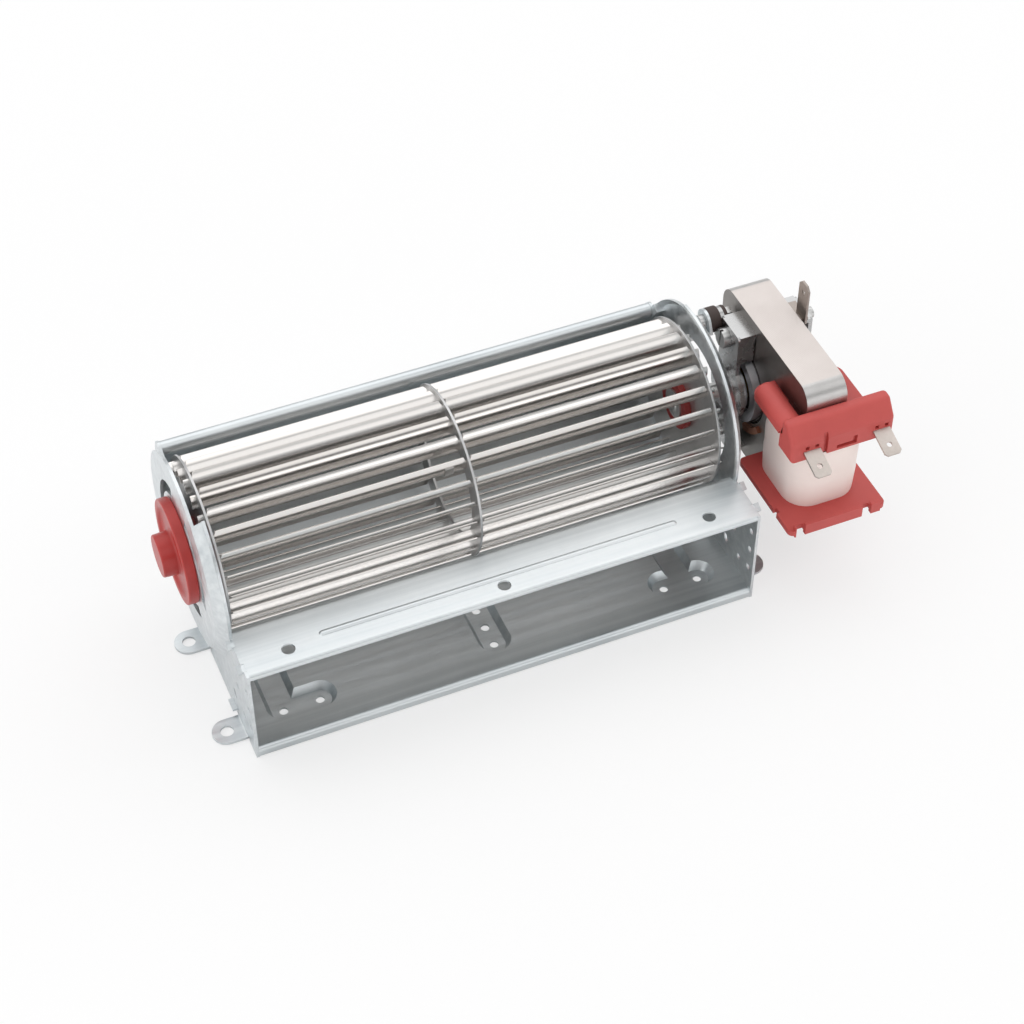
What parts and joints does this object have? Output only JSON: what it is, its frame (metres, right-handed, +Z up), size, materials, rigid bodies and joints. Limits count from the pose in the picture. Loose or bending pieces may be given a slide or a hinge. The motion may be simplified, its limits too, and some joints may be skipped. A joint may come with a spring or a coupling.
{
  "type": "tangential blower",
  "caption": "Tangential (cross-flow) blower: a bladed drum wheel in a sheet-steel scroll housing, driven from one end by a shaded-pole motor with a C-shaped core.",
  "frame": {"origin": "centre of the four ear holes, on the base plane under the ears and the pressed feet", "axes": "+X along the wheel's axis from the bearing end to the motor, +Y away from the outlet to the scroll's back, +Z up"},
  "size_m": [0.2408, 0.0986, 0.0875],
  "materials": {
    "zinc_sheet": "galvanised, satin",
    "bright_metal": "bright, polished",
    "red_plastic": "moulded, semi-gloss",
    "red_rubber": "moulded",
    "bronze": "sintered",
    "felt": "felt",
    "core_steel": "satin sheet stack",
    "cast_aluminium": "as cast",
    "copper": "drawn",
    "tape": "wound tape",
    "dark_rubber": "moulded",
    "tinned_metal": "tinned",
    "steel": "plated"
  },
  "bodies": {
    "housing": {"scroll_wall": "zinc_sheet", "tongue_plate": "zinc_sheet", "left_end_plate": "zinc_sheet", "right_end_plate": "zinc_sheet", "bearing_holder": "red_plastic", "bearing_bush": "bronze", "bearing_felt": "felt", "bearing_washer": "steel", "stator_core": "core_steel", "coil_core": "core_steel", "shading_rings": "copper", "bobbin": "red_plastic", "winding": "copper", "coil_tape": "tape", "front_terminals": "tinned_metal", "earth_terminal": "tinned_metal", "front_bracket": "zinc_sheet", "rear_bracket": "zinc_sheet", "front_bearing": "bronze", "rear_bearing": "bronze", "front_felt": "felt", "rear_felt": "felt", "front_retainer": "steel", "rear_retainer": "steel", "stack_screws": "steel", "stack_nuts": "steel", "grommets": "dark_rubber", "mount_screws": "steel", "mount_nuts": "steel"},
    "impeller": {"left_disc": "bright_metal", "right_disc": "bright_metal", "middle_ring": "bright_metal", "blades": "bright_metal", "left_hub": "red_rubber", "right_hub": "red_rubber", "left_hub_bush": "steel", "right_hub_bush": "steel", "stub_shaft": "steel", "motor_shaft": "steel", "balance_clip": "steel", "rotor_stack": "core_steel", "rotor_cage": "cast_aluminium"}
  },
  "joints": [
    {"name": "impeller_spin", "type": "hinge", "parent": "housing", "child": "impeller", "pos_m": [0, 0.02105, 0.0455], "axis": [1, 0, 0], "continuous": true}
  ]
}
